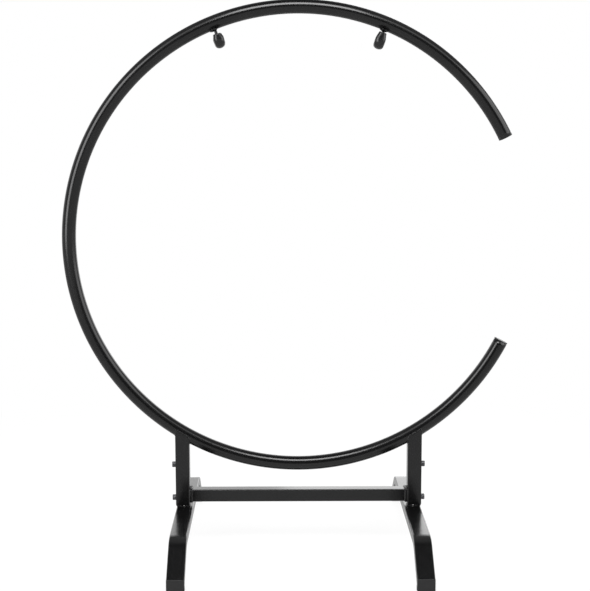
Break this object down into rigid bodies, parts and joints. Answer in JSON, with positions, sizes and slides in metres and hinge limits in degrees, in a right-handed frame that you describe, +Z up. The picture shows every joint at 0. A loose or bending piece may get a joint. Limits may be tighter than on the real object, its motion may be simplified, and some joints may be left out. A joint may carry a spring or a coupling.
{
  "type": "gong stand",
  "caption": "Floor stand for a gong: a hoop of round tube, open at one side, with rubber-sleeved hooks inside its top, on square legs with a cross bar and bent feet.",
  "frame": {"origin": "on the floor, under the middle of the whole stand's box; the hoop's middle is 27 mm to the right of it", "axes": "+Z up, +X to the right seen from the front, -Y towards the front"},
  "size_m": [1.0072, 0.6686, 1.233],
  "materials": {
    "powder_coat": "semi-gloss black powder coat with a fine orange peel",
    "plug_plastic": "satin black moulded plastic",
    "sleeve_rubber": "matt black rubber",
    "black_steel": "black oxide steel, satin",
    "zinc_steel": "bright zinc plate"
  },
  "bodies": {
    "root": {"ring_tube": "powder_coat", "ring_cap_upper": "plug_plastic", "ring_cap_lower": "plug_plastic", "cross_bar": "powder_coat", "left_leg": "powder_coat", "left_leg_weld": "powder_coat", "left_bar_weld": "powder_coat", "left_stub": "powder_coat", "left_stub_weld": "powder_coat", "left_foot": "powder_coat", "left_foot_cap_front": "plug_plastic", "left_foot_cap_rear": "plug_plastic", "left_bolt_lower": "black_steel", "left_nut_lower": "zinc_steel", "left_bolt_upper": "black_steel", "left_nut_upper": "zinc_steel", "left_hook_rod": "powder_coat", "left_hook_sleeve": "sleeve_rubber", "left_hook_weld": "powder_coat", "right_leg": "powder_coat", "right_leg_weld": "powder_coat", "right_bar_weld": "powder_coat", "right_stub": "powder_coat", "right_stub_weld": "powder_coat", "right_foot": "powder_coat", "right_foot_cap_front": "plug_plastic", "right_foot_cap_rear": "plug_plastic", "right_bolt_lower": "black_steel", "right_nut_lower": "zinc_steel", "right_bolt_upper": "black_steel", "right_nut_upper": "zinc_steel", "right_hook_rod": "powder_coat", "right_hook_sleeve": "sleeve_rubber", "right_hook_weld": "powder_coat"}
  },
  "joints": []
}
